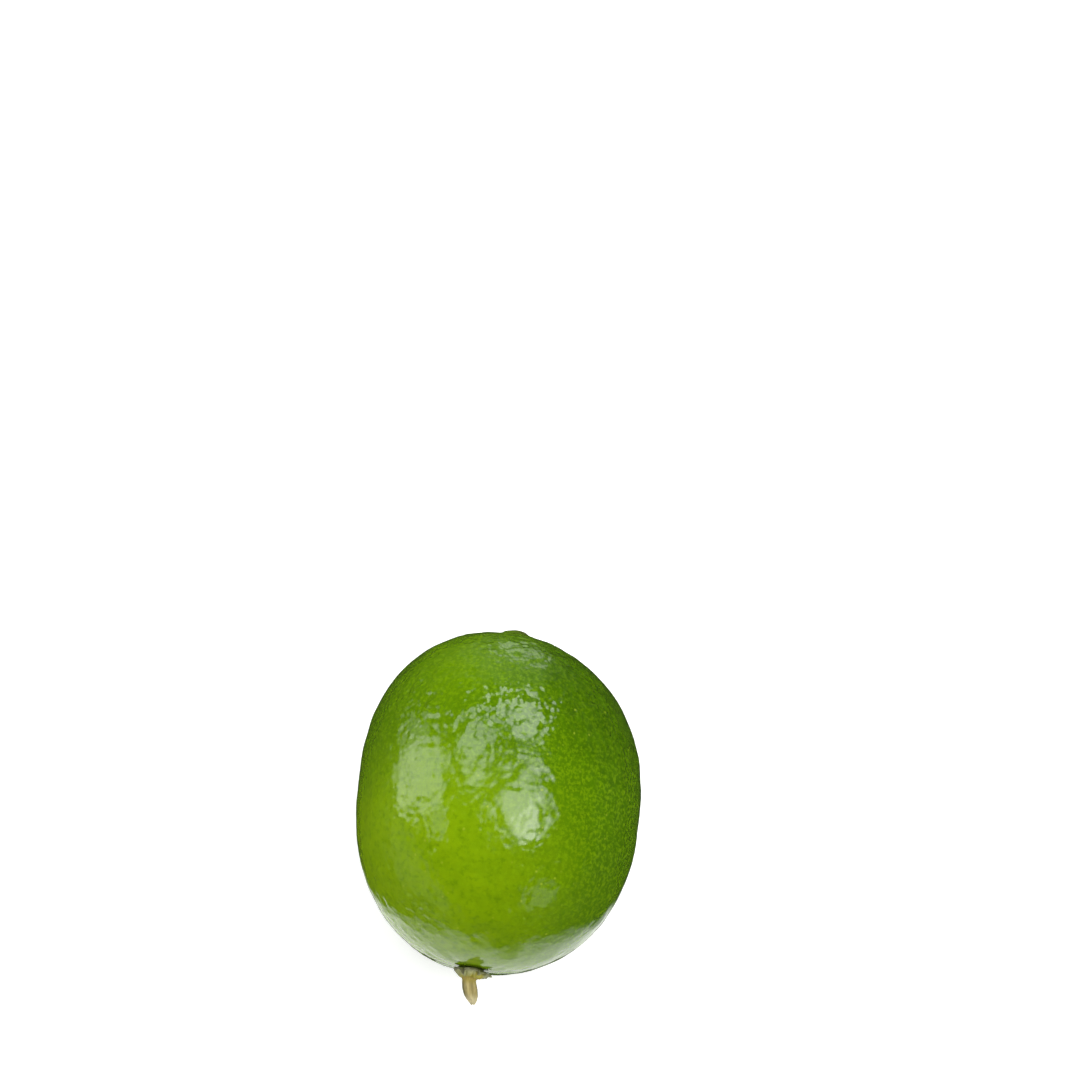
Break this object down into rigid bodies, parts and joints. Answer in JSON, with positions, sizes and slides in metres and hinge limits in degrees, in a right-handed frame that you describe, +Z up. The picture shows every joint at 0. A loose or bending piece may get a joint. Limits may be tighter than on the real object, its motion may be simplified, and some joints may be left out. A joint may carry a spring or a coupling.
{
  "type": "lime fruit",
  "caption": "Whole green lime lying on its side, glossy dimpled rind, low blunt nipple at one end, dried lobed button and short torn stub of stalk at the other.",
  "frame": {"origin": "middle of the small flat spot on the belly that the fruit rests on", "axes": "+Z up, away from the resting surface; +Y along the fruit from the stalk toward the blossom end; the stub of stalk points toward -Y"},
  "size_m": [0.0539, 0.073, 0.0534],
  "materials": {
    "rind": "gloss",
    "dried_sepals": "matte",
    "stalk_wood": "matte"
  },
  "bodies": {
    "root": {"fruit": "rind", "calyx": "dried_sepals", "stem": "stalk_wood"}
  },
  "joints": []
}
